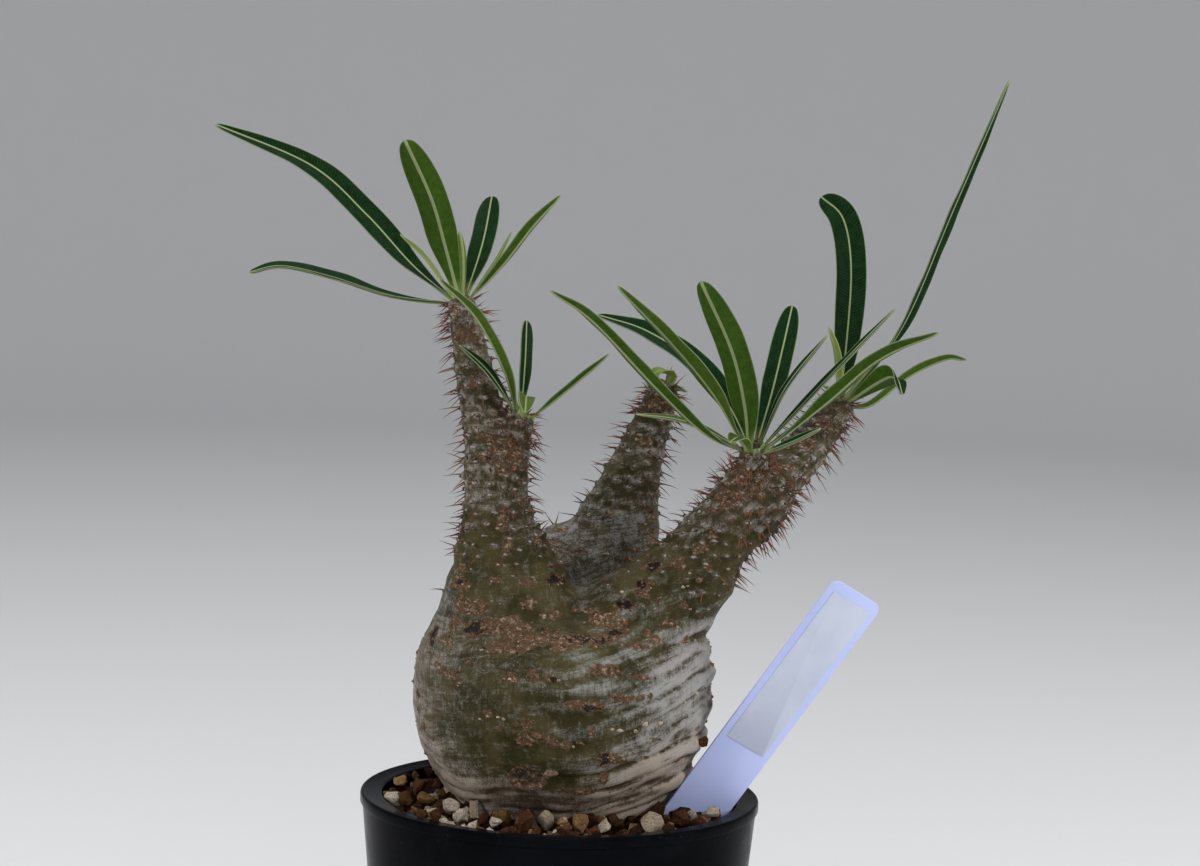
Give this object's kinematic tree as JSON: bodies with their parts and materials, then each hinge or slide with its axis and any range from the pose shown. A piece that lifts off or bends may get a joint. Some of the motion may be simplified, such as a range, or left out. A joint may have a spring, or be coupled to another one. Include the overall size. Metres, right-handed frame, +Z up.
{
  "type": "potted pachypodium gracilius",
  "caption": "Swollen silver-green caudex with spiny arms and rosettes of narrow leaves, in gravel soil in a tapered black pot, with a blank lilac plant label.",
  "frame": {"origin": "centre of the flat underside of the pot", "axes": "+Z up along the pot's axis; +X to the viewer's right in the picture, towards the highest leaf; +Y away from the viewer"},
  "size_m": [0.2382, 0.1203, 0.3232],
  "materials": {
    "pot_plastic": "glossy black, a little dusty",
    "gravel": "matt, brown baked clay and cream pumice",
    "bark": "satin, silver-grey to olive, wrinkled, with corky flecks",
    "leaf": "satin green with a pale midrib and margin",
    "label_plastic": "satin lilac",
    "label_paper": "satin silver-grey, blank"
  },
  "bodies": {
    "root": {"pot": "pot_plastic", "soil": "gravel", "caudex": "bark", "crown_left": "leaf", "crown_side": "leaf", "crown_back": "leaf", "crown_front": "leaf", "crown_far": "leaf", "label_stake": "label_plastic", "label_sticker": "label_paper"}
  },
  "joints": []
}
